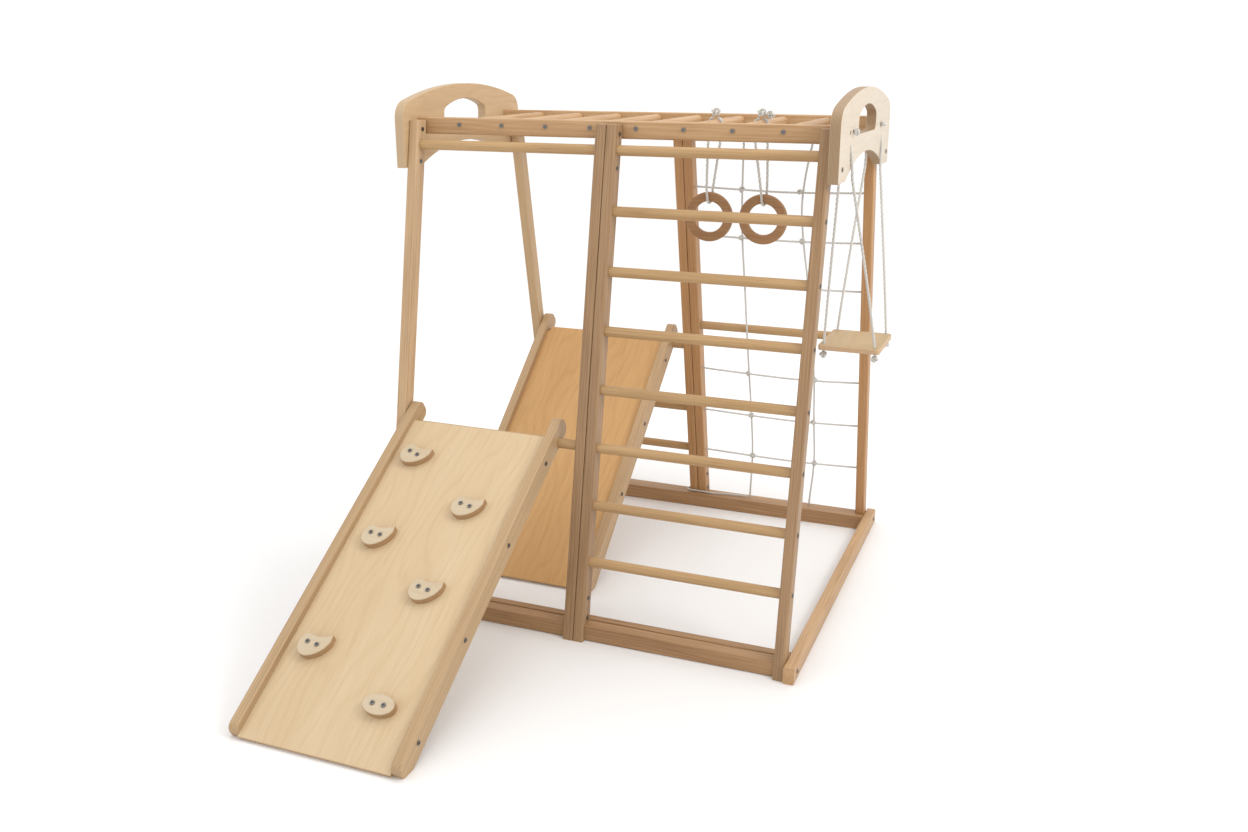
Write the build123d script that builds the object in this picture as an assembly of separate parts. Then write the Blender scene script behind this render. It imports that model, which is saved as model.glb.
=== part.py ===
from build123d import *
import os
from math import asin, atan, atan2, cos, degrees, hypot, radians, sin, sqrt, tan

# Indoor wooden climbing playset: two leaning front frames and two leaning back frames
# joined by overhead rails, with monkey bars, a ladder, a climbing ramp, a slide,
# a rope net, two rings and a swing.  X runs along the ladder face, Y towards the back.

# ---- overall sizes ----
FRAME_HALF_X = 604.0      # outer face of the end posts
FOOT_Y = 590.0            # outer face of the posts at the floor
HEAD_Y = 325.0            # outer face of the posts at rail height
RAIL_TOP = 1400.0

# ---- timber sections ----
POST_W = 30.0
POST_D = 45.0
POST_TOP = RAIL_TOP - 7.0
MID_GAP = 1.0             # between the two middle posts
ROUND = 4.0               # rounding of the long timber edges
RAIL_W = 30.0
RAIL_H = 46.0
RUNG_D = 28.0
SOCKET = 10.0             # depth a rung sits in its post
FIT = 0.1                 # radial room of a rung in its socket
RUNNING = 0.06            # radial running clearance of the two pivot rungs
SEAT_GAP = 0.3            # between faces that are only bolted together

# ---- rungs ----
RUNG_FIRST_Z = 220.0
RUNG_PITCH = 158.0
RUNG_COUNT = 8
RAMP_RUNG_INDEX = 2
NET_BAR_INDEX = 3
SLIDE_RUNG_Z = RUNG_FIRST_Z + 2.5 * RUNG_PITCH

# ---- overhead bars ----
BAR_COUNT = 8
BAR_PITCH = 134.0
BAR_Z = RAIL_TOP - 19.0

# ---- floor timbers ----
BOTTOM_RAIL_T = 38.0
BOTTOM_RAIL_H = 46.0
FLOOR_BEAM_T = 26.0
SIDE_RAIL_W = 30.0
SIDE_RAIL_H = 48.0
SIDE_RAIL_OVER = 8.0      # past the posts' feet at both ends

# ---- end panels ----
PANEL_T = 28.0
PANEL_HALF_Y = 359.0
PANEL_FOOT_Z = 1262.0
PANEL_APEX_Z = 1488.0
PANEL_CROWN_R = 1260.0
PANEL_CORNER_R = 52.0
CUTOUT_HALF_Y = 270.0
CUTOUT_RISE = 58.0
HANDLE_HALF_Y = 128.0
HANDLE_FOOT_Z = 1371.0
HANDLE_H = 73.0
HANDLE_CROWN = 27.0

# ---- ramp and slide ----
SLOPE_RAIL_W = 28.0
SLOPE_RAIL_H = 58.0
SLOPE_BOARD_T = 12.0
RAMP_X0 = -571.0
RAMP_X1 = -88.0
RAMP_RUN = 865.0
SLIDE_X0 = -572.0
SLIDE_X1 = -74.0
SLIDE_RUN = 743.0
BOARD_LIFT = RUNG_D / 2 + 0.4
RAIL_BEYOND = 62.0        # rail end above the pivot
RAIL_PROUD = 18.0         # rail edge above the board's face
RAIL_END_R = 22.0
HOLD_T = 20.0

# ---- hanging toys ----
ROPE_D = 8.0
NET_D = 7.0
TAIL_Z = 52.5            # loose end of the net rope, lying on the floor timbers
RING_OD = 143.0
RING_RADIAL = 27.0
RING_T = 17.0
RING_Z = 1120.0
SEAT_X = 172.0
SEAT_Y = 212.0
SEAT_T = 16.0
SEAT_Z = 778.0
SEAT_CX = 634.0
HOLE_Y_OUT = 238.0
HOLE_Y_IN = 204.0
HOLE_Z = 1381.0
ROPE_HOLE_D = 12.0
SEAT_INSET = 14.0         # rope holes in from the seat's edges
BEND_Z = PANEL_FOOT_Z     # where the swing ropes leave the panel and begin to swing
PANEL_ARC = 8.0           # bend of a swing rope over the edge of its hole
BEND_GAP = 11.0           # left in each rope there so that the hanging part can turn

# ---- bolts ----
BOLT_D = 6.0
BOLT_HEAD_D = 12.0
BOLT_HEAD_H = 2.4
BOLT_KEY = 6.4            # across the corners of the hex socket
BOLT_ROOM = 0.25

LEAN = atan((FOOT_Y - HEAD_Y) / RAIL_TOP)
POST_Y = POST_D / cos(LEAN)
RAIL_Y = -(FOOT_Y - (FOOT_Y - HEAD_Y) * POST_TOP / RAIL_TOP) + POST_Y + SEAT_GAP
BEAM_Y = FOOT_Y - (FOOT_Y - HEAD_Y) * SIDE_RAIL_H / RAIL_TOP - POST_Y - SEAT_GAP
PANEL_X = FRAME_HALF_X + SEAT_GAP
SIDE_X = FRAME_HALF_X + SEAT_GAP
BAR_XS = [(i - (BAR_COUNT - 1) / 2) * BAR_PITCH for i in range(BAR_COUNT)]
RUNG_ZS = [RUNG_FIRST_Z + i * RUNG_PITCH for i in range(RUNG_COUNT)]
INNER_X = MID_GAP / 2 + POST_W          # face of a middle post towards its own frame
END_X = FRAME_HALF_X - POST_W           # face of an end post towards its own frame


def post_outer(z):
    """Distance from the middle plane to the outer face of the leaning posts at height z."""
    return FOOT_Y - (FOOT_Y - HEAD_Y) * z / RAIL_TOP


def post_mid_y(z, side):
    """Y of the middle of a leaning post at height z; side is -1 in front, +1 behind."""
    return side * (post_outer(z) - POST_Y / 2)


def slope_angle(run, drop):
    """Slope of a board whose lower face passes BOARD_LIFT above its pivot and meets the floor at run."""
    reach = hypot(run, drop)
    return atan2(drop, run) + asin(BOARD_LIFT / reach)


def block(x0, x1, y0, y1, z0, z1):
    return Pos((x0 + x1) / 2, (y0 + y1) / 2, (z0 + z1) / 2) * Box(x1 - x0, y1 - y0, z1 - z0)


def soften(part, axis, radius=ROUND):
    return fillet(part.edges().filter_by(axis), radius)


def rod_x(x0, x1, y, z, d):
    return Pos((x0 + x1) / 2, y, z) * Rot(0, 90, 0) * Cylinder(d / 2, x1 - x0)


def rod_y(x, y0, y1, z, d):
    return Pos(x, (y0 + y1) / 2, z) * Rot(90, 0, 0) * Cylinder(d / 2, y1 - y0)


def hub(at, direction, d, length, start=0.0):
    """A cylinder that starts at a point and runs along a direction."""
    plane = Plane(origin=at, z_dir=direction)
    return plane * Pos(0, 0, start + length / 2) * Cylinder(d / 2, length)


def bolt(at, direction, length):
    """A round head with a hex socket, lying on the face at `at`; its shank goes in along `direction`."""
    shank = hub(at, direction, BOLT_D, length)
    head = hub(at, direction, BOLT_HEAD_D, BOLT_HEAD_H, -BOLT_HEAD_H)
    socket = extrude(RegularPolygon(BOLT_KEY / 2, 6), BOLT_HEAD_H)
    key = Plane(origin=at, z_dir=direction) * Pos(0, 0, -BOLT_HEAD_H) * socket
    return shank + head - key


def drill(part, holes, d=BOLT_D):
    for at, direction, length in holes:
        part -= hub(at, direction, d + 2 * BOLT_ROOM, length + 1.0, -1.0)
    return part


def rope(points, radii, d):
    """Round rope: straight runs joined by tangent arcs, one radius for each inner point."""
    path = FilletPolyline(*points, radius=radii)
    start = Plane(origin=path @ 0, z_dir=path % 0)
    return sweep(start * Circle(d / 2), path=path)


# ---- where each bolt goes ----
def post_x(side_x, inner):
    """X span of a post: side_x -1 or +1, inner True for the middle pair."""
    if inner:
        span = (MID_GAP / 2, MID_GAP / 2 + POST_W)
    else:
        span = (FRAME_HALF_X - POST_W, FRAME_HALF_X)
    if side_x < 0:
        return (-span[1], -span[0])
    return span


def rung_zs(side_x, side_y):
    """Heights of the rungs between the two posts of one frame."""
    if side_y < 0 and side_x > 0:
        return RUNG_ZS
    if side_y < 0:
        return [RUNG_ZS[RAMP_RUNG_INDEX], RUNG_ZS[-1]]
    if side_x < 0:
        return [RUNG_ZS[0], RUNG_ZS[1], SLIDE_RUNG_Z, RUNG_ZS[-1]]
    return [RUNG_ZS[NET_BAR_INDEX], RUNG_ZS[-1]]


def end_bolts(side_x, side_y):
    """Bolts through an end post into the ends of its rungs, seen from outside."""
    holes = []
    for z in rung_zs(side_x, side_y)[:-1]:
        at = (side_x * FRAME_HALF_X, post_mid_y(z, side_y), z)
        holes.append((at, (-side_x, 0, 0), 34.0))
    return holes


def joiner_bolts(side_y):
    """Bolts that pull the two middle posts together, from the right-hand one."""
    zs = [BOTTOM_RAIL_H + 16.0, 118.0, RUNG_ZS[-1] - 46.0, RUNG_ZS[-1] + 42.0]
    return [((INNER_X, post_mid_y(z, side_y), z), (-1, 0, 0), 50.0) for z in zs]


def inner_bolts(side_x, side_y):
    """Two short screws on the inner face of an end post, by its top rung."""
    zs = (RUNG_ZS[-1] - 46.0, RUNG_ZS[-1] + 42.0)
    return [((side_x * END_X, post_mid_y(z, side_y), z), (side_x, 0, 0), 12.0) for z in zs]


def bar_bolts(side_y):
    """Bolts through a top rail into the ends of the overhead bars."""
    y = side_y * abs(RAIL_Y)
    return [((x, y, BAR_Z), (0, -side_y, 0), RAIL_W + 25.0) for x in BAR_XS]


def side_rail_bolts(side_x):
    x = side_x * (SIDE_X + SIDE_RAIL_W)
    ys = [post_mid_y(SIDE_RAIL_H / 2, s) for s in (-1, 1)]
    return [((x, y, SIDE_RAIL_H / 2), (-side_x, 0, 0), 52.0) for y in ys]


def panel_bolts(side_x):
    x = side_x * (PANEL_X + PANEL_T)
    z = PANEL_FOOT_Z + 34.0
    return [((x, post_mid_y(z, s), z), (-side_x, 0, 0), 50.0) for s in (-1, 1)]


def net_heights():
    return [z for i, z in enumerate(RUNG_ZS[:-1]) if i != NET_BAR_INDEX]


# ---- frame timbers ----
def post(side_x, side_y, inner):
    """A leaning post cut level at the floor and at its head, with rung sockets."""
    x0, x1 = post_x(side_x, inner)
    middle = (FOOT_Y + HEAD_Y) / 2 - POST_Y / 2
    stick = soften(Box(POST_W, POST_D, RAIL_TOP * 1.15), Axis.Z)
    stick = Pos((x0 + x1) / 2, side_y * middle, RAIL_TOP / 2) * Rot(degrees(side_y * LEAN), 0, 0) * stick
    body = stick & block(x0 - 1, x1 + 1, -FOOT_Y * 1.5, FOOT_Y * 1.5, 0, POST_TOP)
    face = x0 if (side_x > 0) != inner else x1
    inward = 1 if face == x0 else -1
    for z in rung_zs(side_x, side_y):
        at = (face, post_mid_y(z, side_y), z)
        body -= hub(at, (inward, 0, 0), RUNG_D + 2 * FIT, SOCKET + 1.0, -1.0)
    if side_y > 0 and side_x > 0:
        for z in net_heights():
            at = (face, post_mid_y(z, 1), z)
            body -= hub(at, (inward, 0, 0), NET_D + 1.8, 12.0, -1.0)
    if inner:
        body = drill(body, joiner_bolts(side_y))
    else:
        body = drill(body, end_bolts(side_x, side_y))
        body = drill(body, inner_bolts(side_x, side_y))
        body = drill(body, side_rail_bolts(side_x))
        body = drill(body, panel_bolts(side_x))
    if inner and side_x < 0 and side_y > 0:
        body -= hub((-INNER_X, post_mid_y(TAIL_Z, 1), TAIL_Z), (1, 0, 0), NET_D + 1.8, 12.0, -1.0)
    return body


def rung(side_x, side_y, z, room=0.3):
    """A round rung with both ends in the sockets of its two posts."""
    x0 = INNER_X - SOCKET + room
    x1 = END_X + SOCKET - room
    if side_x < 0:
        x0, x1 = -x1, -x0
    body = rod_x(x0, x1, post_mid_y(z, side_y), z, RUNG_D)
    if z != rung_zs(side_x, side_y)[-1]:
        body = drill(body, [b for b in end_bolts(side_x, side_y) if abs(b[0][2] - z) < 1.0])
    return body


def top_rail(side_y):
    y0 = RAIL_Y if side_y < 0 else -RAIL_Y - RAIL_W
    rail = block(-FRAME_HALF_X, FRAME_HALF_X, y0, y0 + RAIL_W, RAIL_TOP - RAIL_H, RAIL_TOP)
    rail = soften(rail, Axis.X)
    return drill(rail, bar_bolts(side_y))


def monkey_bar(index):
    """An overhead bar between the two top rails, bolted at both ends."""
    reach = abs(RAIL_Y) - RAIL_W - SEAT_GAP / 2
    bar = rod_y(BAR_XS[index], -reach, reach, BAR_Z, RUNG_D)
    holes = [b for s in (-1, 1) for b in bar_bolts(s) if abs(b[0][0] - BAR_XS[index]) < 1.0]
    return drill(bar, holes)


def bottom_rail_y(side_y):
    y0 = FOOT_Y - 15.0 - BOTTOM_RAIL_T
    return (y0, y0 + BOTTOM_RAIL_T) if side_y > 0 else (-y0 - BOTTOM_RAIL_T, -y0)


def bottom_rails(side_y):
    """The two rails at floor level between the feet of the front or back posts."""
    y0, y1 = bottom_rail_y(side_y)
    rails = []
    for s in (-1, 1):
        x0, x1 = sorted((s * (INNER_X + SEAT_GAP), s * (END_X - SEAT_GAP)))
        rail = soften(block(x0, x1, y0, y1, 1.0, BOTTOM_RAIL_H), Axis.X, 3.0)
        if side_y > 0 and s > 0:
            for x in NET_XS:
                rail -= hub((x, (y0 + y1) / 2, BOTTOM_RAIL_H), (0, 0, -1), NET_D + 1.8, 14.0, -1.0)
        rails.append(rail)
    return rails


def floor_beam(side_y):
    """The long beam on the floor just inside the posts, between the two side rails."""
    y1 = min(BEAM_Y, bottom_rail_y(1)[0] - SEAT_GAP)
    y0 = y1 - FLOOR_BEAM_T
    if side_y < 0:
        y0, y1 = -y1, -y0
    reach = SIDE_X - SEAT_GAP
    return soften(block(-reach, reach, y0, y1, 0.0, SIDE_RAIL_H), Axis.X, 3.0)


def side_rail(side_x):
    x0, x1 = sorted((side_x * SIDE_X, side_x * (SIDE_X + SIDE_RAIL_W)))
    reach = FOOT_Y + SIDE_RAIL_OVER
    rail = soften(block(x0, x1, -reach, reach, 0.0, SIDE_RAIL_H), Axis.Y)
    return drill(rail, side_rail_bolts(side_x))


def end_panel(side_x):
    """Thick plywood end: crowned top, handle hole, two legs with an arched gap between."""
    crown = Pos(0, PANEL_APEX_Z - PANEL_CROWN_R) * Circle(PANEL_CROWN_R)
    height = PANEL_APEX_Z - PANEL_FOOT_Z
    slab = Pos(0, PANEL_FOOT_Z + height / 2) * Rectangle(2 * PANEL_HALF_Y, height)
    shape = crown & slab
    shape = fillet(shape.vertices().sort_by(Axis.Y)[-2:], PANEL_CORNER_R)
    gap_r = (CUTOUT_HALF_Y ** 2 + CUTOUT_RISE ** 2) / (2 * CUTOUT_RISE)
    shape -= Pos(0, PANEL_FOOT_Z + CUTOUT_RISE - gap_r) * Circle(gap_r)
    hole_r = (HANDLE_HALF_Y ** 2 + HANDLE_CROWN ** 2) / (2 * HANDLE_CROWN)
    hole = Pos(0, HANDLE_FOOT_Z + HANDLE_H - hole_r) * Circle(hole_r)
    hole &= Pos(0, HANDLE_FOOT_Z + HANDLE_H / 2) * Rectangle(2 * HANDLE_HALF_Y, HANDLE_H)
    hole = fillet(hole.vertices(), 20.0)
    shape -= hole
    panel = extrude(Plane.YZ * shape, PANEL_T)
    panel = fillet(panel.edges().filter_by(Axis.X, reverse=True), 2.5)
    x0 = PANEL_X if side_x > 0 else -PANEL_X - PANEL_T
    panel = Pos(x0, 0, 0) * panel
    panel = drill(panel, panel_bolts(side_x))
    if side_x > 0:
        for y in (-HOLE_Y_OUT, -HOLE_Y_IN, HOLE_Y_IN, HOLE_Y_OUT):
            panel -= rod_x(x0 - 1, x0 + PANEL_T + 1, y, HOLE_Z, ROPE_HOLE_D)
    return panel


# ---- boards that hang on a pivot rung and run down to the floor ----
def on_slope(pivot_y, pivot_z, run):
    """Places a part made level, with its pivot at the origin and its length along -Y."""
    return Pos(0, pivot_y, pivot_z) * Rot(degrees(slope_angle(run, pivot_z)), 0, 0)


def slope_rail(x0, pivot_z, run):
    """A side rail with rounded ends, a hole for the pivot rung and a foot cut level on the floor."""
    angle = slope_angle(run, pivot_z)
    centre_n = BOARD_LIFT + SLOPE_BOARD_T + RAIL_PROUD - SLOPE_RAIL_H / 2
    s_end = sqrt(run ** 2 + pivot_z ** 2 - BOARD_LIFT ** 2) - 6.0
    shape = RectangleRounded(s_end + RAIL_BEYOND, SLOPE_RAIL_H, RAIL_END_R)
    shape = Pos((RAIL_BEYOND - s_end) / 2, centre_n) * shape
    rail = extrude(Plane.YZ * shape, SLOPE_RAIL_W)
    rail = fillet(rail.edges().filter_by(Axis.X, reverse=True), 3.0)
    rail = Pos(x0, 0, 0) * rail
    below = Pos(0, 0, -pivot_z - run) * Box(4 * run, 4 * run, 2 * run)
    rail -= Rot(-degrees(angle), 0, 0) * below
    return rail - rod_x(x0 - 1, x0 + SLOPE_RAIL_W + 1, 0, 0, RUNG_D + 2 * RUNNING)


def slope_board(x0, x1, pivot_z, run, top_s, notch=0.0):
    """The board between the side rails; it lies on the pivot rung and ends on the floor."""
    reach = sqrt(run ** 2 + pivot_z ** 2 - BOARD_LIFT ** 2)
    left = x0 + SLOPE_RAIL_W + SEAT_GAP
    right = x1 - SLOPE_RAIL_W - SEAT_GAP
    board = block(left, right, -reach + 1.0, -top_s, BOARD_LIFT, BOARD_LIFT + SLOPE_BOARD_T)
    board = fillet(board.edges().filter_by(Axis.X), 2.0)
    if notch:
        for x in (left, right):
            cut = Rectangle(2 * notch, 2 * notch) + Pos(0, -notch) * Circle(notch)
            board -= Pos(x, -top_s, 0) * extrude(cut, 60.0)
    return board


def slope_bolt_spots(pivot_z, run):
    """Distances down the slope at which a side rail is screwed to the edge of the board."""
    reach = hypot(run, pivot_z)
    return [0.09 * reach, 0.36 * reach, 0.64 * reach, 0.91 * reach]


def slope_bolts(x0, x1, pivot_z, run):
    z = BOARD_LIFT + SLOPE_BOARD_T / 2
    bolts = []
    for s in slope_bolt_spots(pivot_z, run):
        bolts.append(((x1, -s, z), (-1, 0, 0), 44.0))
        bolts.append(((x0, -s, z), (1, 0, 0), 44.0))
    return bolts


# each hold: share of the board's clear width, share of the slope length, turn, kind
HOLDS = [(0.143, 0.134, 0.0, "teardrop"), (0.681, 0.278, 9.0, "teardrop"), (0.185, 0.409, 14.0, "teardrop"),
         (0.677, 0.540, 9.0, "teardrop"), (0.162, 0.743, 12.0, "teardrop"), (0.766, 0.853, 0.0, "oval")]
HOLD_R = 33.0             # round end of a teardrop hold
HOLD_TIP = 58.0           # from the middle of the round end to the blunt tip
OVAL_X = 86.0
OVAL_Y = 54.0


def hold_place(hold):
    width = RAMP_X1 - RAMP_X0 - 2 * SLOPE_RAIL_W
    x = RAMP_X0 + SLOPE_RAIL_W + hold[0] * width
    y = -hold[1] * hypot(RAMP_RUN, RAMP_PIVOT_Z)
    return Pos(x, y, BOARD_LIFT + SLOPE_BOARD_T) * Rot(0, 0, hold[2])


def hold_screws(hold):
    if hold[3] == "teardrop":
        spots = [(-0.2 * HOLD_R, 0.2 * HOLD_R), (0.65 * HOLD_R, -0.1 * HOLD_R)]
    else:
        spots = [(-0.18 * OVAL_X, 0.0), (0.18 * OVAL_X, 0.0)]
    screws = []
    for dx, dy in spots:
        p = (hold_place(hold) * Pos(dx, dy, HOLD_T)).position
        screws.append(((p.X, p.Y, p.Z), (0, 0, -1), HOLD_T + 6.0))
    return screws


def teardrop():
    """Round end at the origin, hollow upper edge, blunt tip pointing along +X."""
    r = HOLD_R
    tip = HOLD_TIP
    edges = ThreePointArc((-0.24 * r, 0.97 * r), (0.36 * tip, 0.62 * r), (tip, 0.7 * r))
    edges += Line((tip, 0.7 * r), (tip - 2.0, 0.12 * r))
    edges += ThreePointArc((tip - 2.0, 0.12 * r), (0.62 * tip, -0.62 * r), (0.12 * r, -r))
    edges += ThreePointArc((0.12 * r, -r), (-r, -0.12 * r), (-0.24 * r, 0.97 * r))
    return make_face(edges)


def ramp_hold(hold):
    """A plywood grip screwed on the board: a teardrop, or the plain oval near the foot."""
    shape = teardrop() if hold[3] == "teardrop" else Ellipse(OVAL_X / 2, OVAL_Y / 2)
    grip = extrude(shape, HOLD_T)
    grip = chamfer(grip.faces().sort_by(Axis.Z)[-1].edges(), 1.5)
    return drill(hold_place(hold) * grip, hold_screws(hold))


# ---- rings ----
RING_SPOTS = [(BAR_XS[5], BAR_XS[5] - 13.0), (BAR_XS[6], BAR_XS[6] + 15.0)]


def ring(x):
    """A flat wooden ring hanging in the plane across the bars."""
    hole_d = RING_OD - 2 * RING_RADIAL
    body = Cylinder(RING_OD / 2, RING_T) - Cylinder(hole_d / 2, RING_T + 2)
    body = fillet(body.edges().filter_by(GeomType.CIRCLE), 6.0)
    return Pos(x, 0, RING_Z) * Rot(90, 0, 0) * body


def ring_rope_points(bar_x, ring_x):
    """Loop from the knot over the bar, down before the ring, through it and up behind."""
    out = RUNG_D / 2 + ROPE_D / 2 + 0.4
    top = BAR_Z + out
    through = RING_Z + RING_OD / 2 - RING_RADIAL - ROPE_D / 2 - 0.8
    side = RING_T / 2 + ROPE_D / 2 + 0.6
    crest = RING_Z + RING_OD / 2 + 6.0
    return [(bar_x - 4.5, -3.0, top), (bar_x - out, -3.5, top), (bar_x - out, -4.0, BAR_Z - 24.0),
            (ring_x - 6.0, -side, crest + 8.0), (ring_x - 1.5, -side, through), (ring_x + 1.5, side, through),
            (ring_x + 6.0, side, crest + 8.0), (bar_x + out, 4.0, BAR_Z - 24.0),
            (bar_x + out, 3.5, top), (bar_x + 4.5, 3.0, top)]


RING_ROPE_RADII = [13.0, 30.0, 30.0, 10.0, 10.0, 30.0, 30.0, 13.0]


def ring_knot(bar_x, big):
    """The knot lying on top of the bar; the right-hand one is doubled."""
    z = BAR_Z + RUNG_D / 2 + ROPE_D + 13.0
    knot = Pos(bar_x, 0, z) * Sphere(12.0)
    if big:
        return [knot, Pos(bar_x + 26.0, 0, z - 6.0) * Sphere(11.0)]
    return [knot]


# ---- net ----
NET_XS = [190.0, 406.0]
NET_WANDER = [[-4.0, -8.0, -2.0, 8.0, 6.0, 12.0, 14.0], [-30.0, -24.0, -4.0, 10.0, 17.0, 15.0, 20.0]]


def net_crossings(column):
    """Where one upright rope of the net meets its rows, from the top down."""
    zs = sorted(net_heights() + [RUNG_ZS[NET_BAR_INDEX]], reverse=True)
    points = []
    for z, dx in zip(zs, NET_WANDER[column]):
        y = post_mid_y(z, 1)
        if z == RUNG_ZS[NET_BAR_INDEX]:
            y -= (RUNG_D / 2 + NET_D / 2 + 5.0) / cos(LEAN)
        points.append((NET_XS[column] + dx, y, z))
    return points


def net_upright_points(column):
    y0, y1 = bottom_rail_y(1)
    z = RUNG_ZS[-1]
    start = (NET_XS[column] + 6.0, post_mid_y(z, 1), z - RUNG_D / 2 - 1.5)
    x, y = NET_XS[column], (y0 + y1) / 2
    return [start] + net_crossings(column) + [(x, y, BOTTOM_RAIL_H + 16.0), (x, y, BOTTOM_RAIL_H - 10.0)]


def net_row_points(z, sag):
    """A row from post to post, passing just in front of the two uprights."""
    front = (NET_D + 3.4) / cos(LEAN)
    points = [(INNER_X - 8.0, post_mid_y(z, 1), z)]
    for column in (0, 1):
        x, y, zz = [p for p in net_crossings(column) if abs(p[2] - z) < 1.0][0]
        points.append((x, y - front, zz - sag * (1 + column)))
    points.append((END_X + 8.0, post_mid_y(z, 1), z))
    return points


def net_tail_points():
    """The loose end of the bottom row: along the floor beam and round the middle posts."""
    y = post_mid_y(TAIL_Z, 1)
    face = post_outer(TAIL_Z) - POST_Y - NET_D / 2 - 0.8
    around = -INNER_X - NET_D / 2 - 7.0
    return [(-INNER_X + 8.0, y, TAIL_Z), (around, y, TAIL_Z), (around, face - 0.5, TAIL_Z),
            (16.0, face, TAIL_Z), (62.0, face - 5.0, TAIL_Z), (112.0, face + 9.0, TAIL_Z),
            (NET_XS[0] - 8.0, face + 12.0, TAIL_Z)]


def gentle(points):
    """Radii for a rope's inner points: 0.45 of the shorter run over the tangent of the half turn."""
    radii = []
    for a, b, c in zip(points, points[1:], points[2:]):
        u = Vector(*b) - Vector(*a)
        v = Vector(*c) - Vector(*b)
        half = radians(u.get_angle(v)) / 2
        radii.append(0.45 * min(u.length, v.length) / tan(half))
    return radii


# ---- swing ----
def swing_corner(sx, sy):
    return (SEAT_CX + sx * (SEAT_X / 2 - SEAT_INSET), sy * (SEAT_Y / 2 - SEAT_INSET))


def swing_rope_y(z, sx, sy):
    """Y of a swing rope at height z on its straight way from the panel to the seat."""
    top = HOLE_Y_OUT if sx > 0 else HOLE_Y_IN
    foot = SEAT_Y / 2 - SEAT_INSET
    share = (HOLE_Z - z) / (HOLE_Z - SEAT_Z - SEAT_T)
    return sy * (top + (foot - top) * share)


def swing_rope_x(sx):
    return PANEL_X + PANEL_T / 2 + sx * (PANEL_T / 2 + ROPE_D / 2 + 1.5)


def swing_rope_ends():
    """The rope from its stopper knot through the panel and down the panel's face to the bend."""
    ends = []
    mid = PANEL_X + PANEL_T / 2
    for sy in (-1, 1):
        for sx in (-1, 1):
            y = swing_rope_y(HOLE_Z, sx, sy)
            x = swing_rope_x(sx)
            low = BEND_Z + BEND_GAP / 2
            ends.append([(mid - sx * (PANEL_T / 2 - 2.0), y, HOLE_Z), (x, y, HOLE_Z),
                         (x, swing_rope_y(low, sx, sy), low)])
    return ends


def swing_strands():
    """The four hanging ropes, from the panel's lower edge through the corners of the seat."""
    strands = []
    for sy in (-1, 1):
        for sx in (-1, 1):
            cx, cy = swing_corner(sx, sy)
            high = BEND_Z - BEND_GAP / 2
            strands.append([(swing_rope_x(sx), swing_rope_y(high, sx, sy), high),
                            (cx, cy, SEAT_Z + SEAT_T + 22.0), (cx, cy, SEAT_Z - 5.0)])
    return strands


def swing_seat():
    seat = Pos(SEAT_CX, 0, SEAT_Z + SEAT_T / 2) * Box(SEAT_X, SEAT_Y, SEAT_T)
    seat = fillet(seat.edges().filter_by(Axis.Z), 10.0)
    seat = fillet(seat.faces().sort_by(Axis.Z)[-1].edges() + seat.faces().sort_by(Axis.Z)[0].edges(), 3.0)
    for sx in (-1, 1):
        for sy in (-1, 1):
            cx, cy = swing_corner(sx, sy)
            seat -= Pos(cx, cy, SEAT_Z + SEAT_T / 2) * Cylinder(ROPE_D / 2 + 0.6, SEAT_T + 2)
    return seat


def seat_knots():
    """A stopper knot under each corner of the seat."""
    corners = [swing_corner(sx, sy) for sy in (-1, 1) for sx in (-1, 1)]
    return [Pos(cx, cy, SEAT_Z - 5.0 - 9.3) * Sphere(9.0) for cx, cy in corners]


def panel_knots():
    """A stopper knot on the far side of the panel from each swing rope."""
    mid = PANEL_X + PANEL_T / 2
    knots = []
    for sy in (-1, 1):
        for sx in (-1, 1):
            x = mid - sx * (PANEL_T / 2 + 8.4)
            knots.append(Pos(x, swing_rope_y(HOLE_Z, sx, sy), HOLE_Z) * Sphere(8.0))
    return knots


# ---- everything, by node ----
RAMP_PIVOT_Z = RUNG_ZS[RAMP_RUNG_INDEX]
RAMP_PLACE = on_slope(post_mid_y(RAMP_PIVOT_Z, -1), RAMP_PIVOT_Z, RAMP_RUN)
SLIDE_PLACE = on_slope(post_mid_y(SLIDE_RUNG_Z, 1), SLIDE_RUNG_Z, SLIDE_RUN)


def frame_nodes():
    nodes = {}
    for side_y, row in ((-1, "front"), (1, "back")):
        nodes["post_" + row + "_left"] = [post(-1, side_y, False)]
        nodes["post_" + row + "_mid_left"] = [post(-1, side_y, True)]
        nodes["post_" + row + "_mid_right"] = [post(1, side_y, True)]
        nodes["post_" + row + "_right"] = [post(1, side_y, False)]
        nodes["top_rail_" + row] = [top_rail(side_y)]
        nodes["bottom_rails_" + row] = bottom_rails(side_y)
        nodes["floor_beam_" + row] = [floor_beam(side_y)]
    for i in range(BAR_COUNT):
        nodes["monkey_bar_%d" % (i + 1)] = [monkey_bar(i)]
    for i, z in enumerate(RUNG_ZS):
        nodes["ladder_rung_%d" % (i + 1)] = [rung(1, -1, z)]
    nodes["front_left_top_rung"] = [rung(-1, -1, RUNG_ZS[-1])]
    nodes["ramp_pivot_rung"] = [rung(-1, -1, RAMP_PIVOT_Z)]
    nodes["slide_pivot_rung"] = [rung(-1, 1, SLIDE_RUNG_Z)]
    nodes["back_left_low_rungs"] = [rung(-1, 1, RUNG_ZS[0]), rung(-1, 1, RUNG_ZS[1])]
    nodes["back_top_rungs"] = [rung(-1, 1, RUNG_ZS[-1]), rung(1, 1, RUNG_ZS[-1])]
    nodes["net_mid_bar"] = [rung(1, 1, RUNG_ZS[NET_BAR_INDEX])]
    for s, name in ((-1, "left"), (1, "right")):
        nodes["side_rail_" + name] = [side_rail(s)]
        nodes["end_panel_" + name] = [end_panel(s)]
    return nodes


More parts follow.
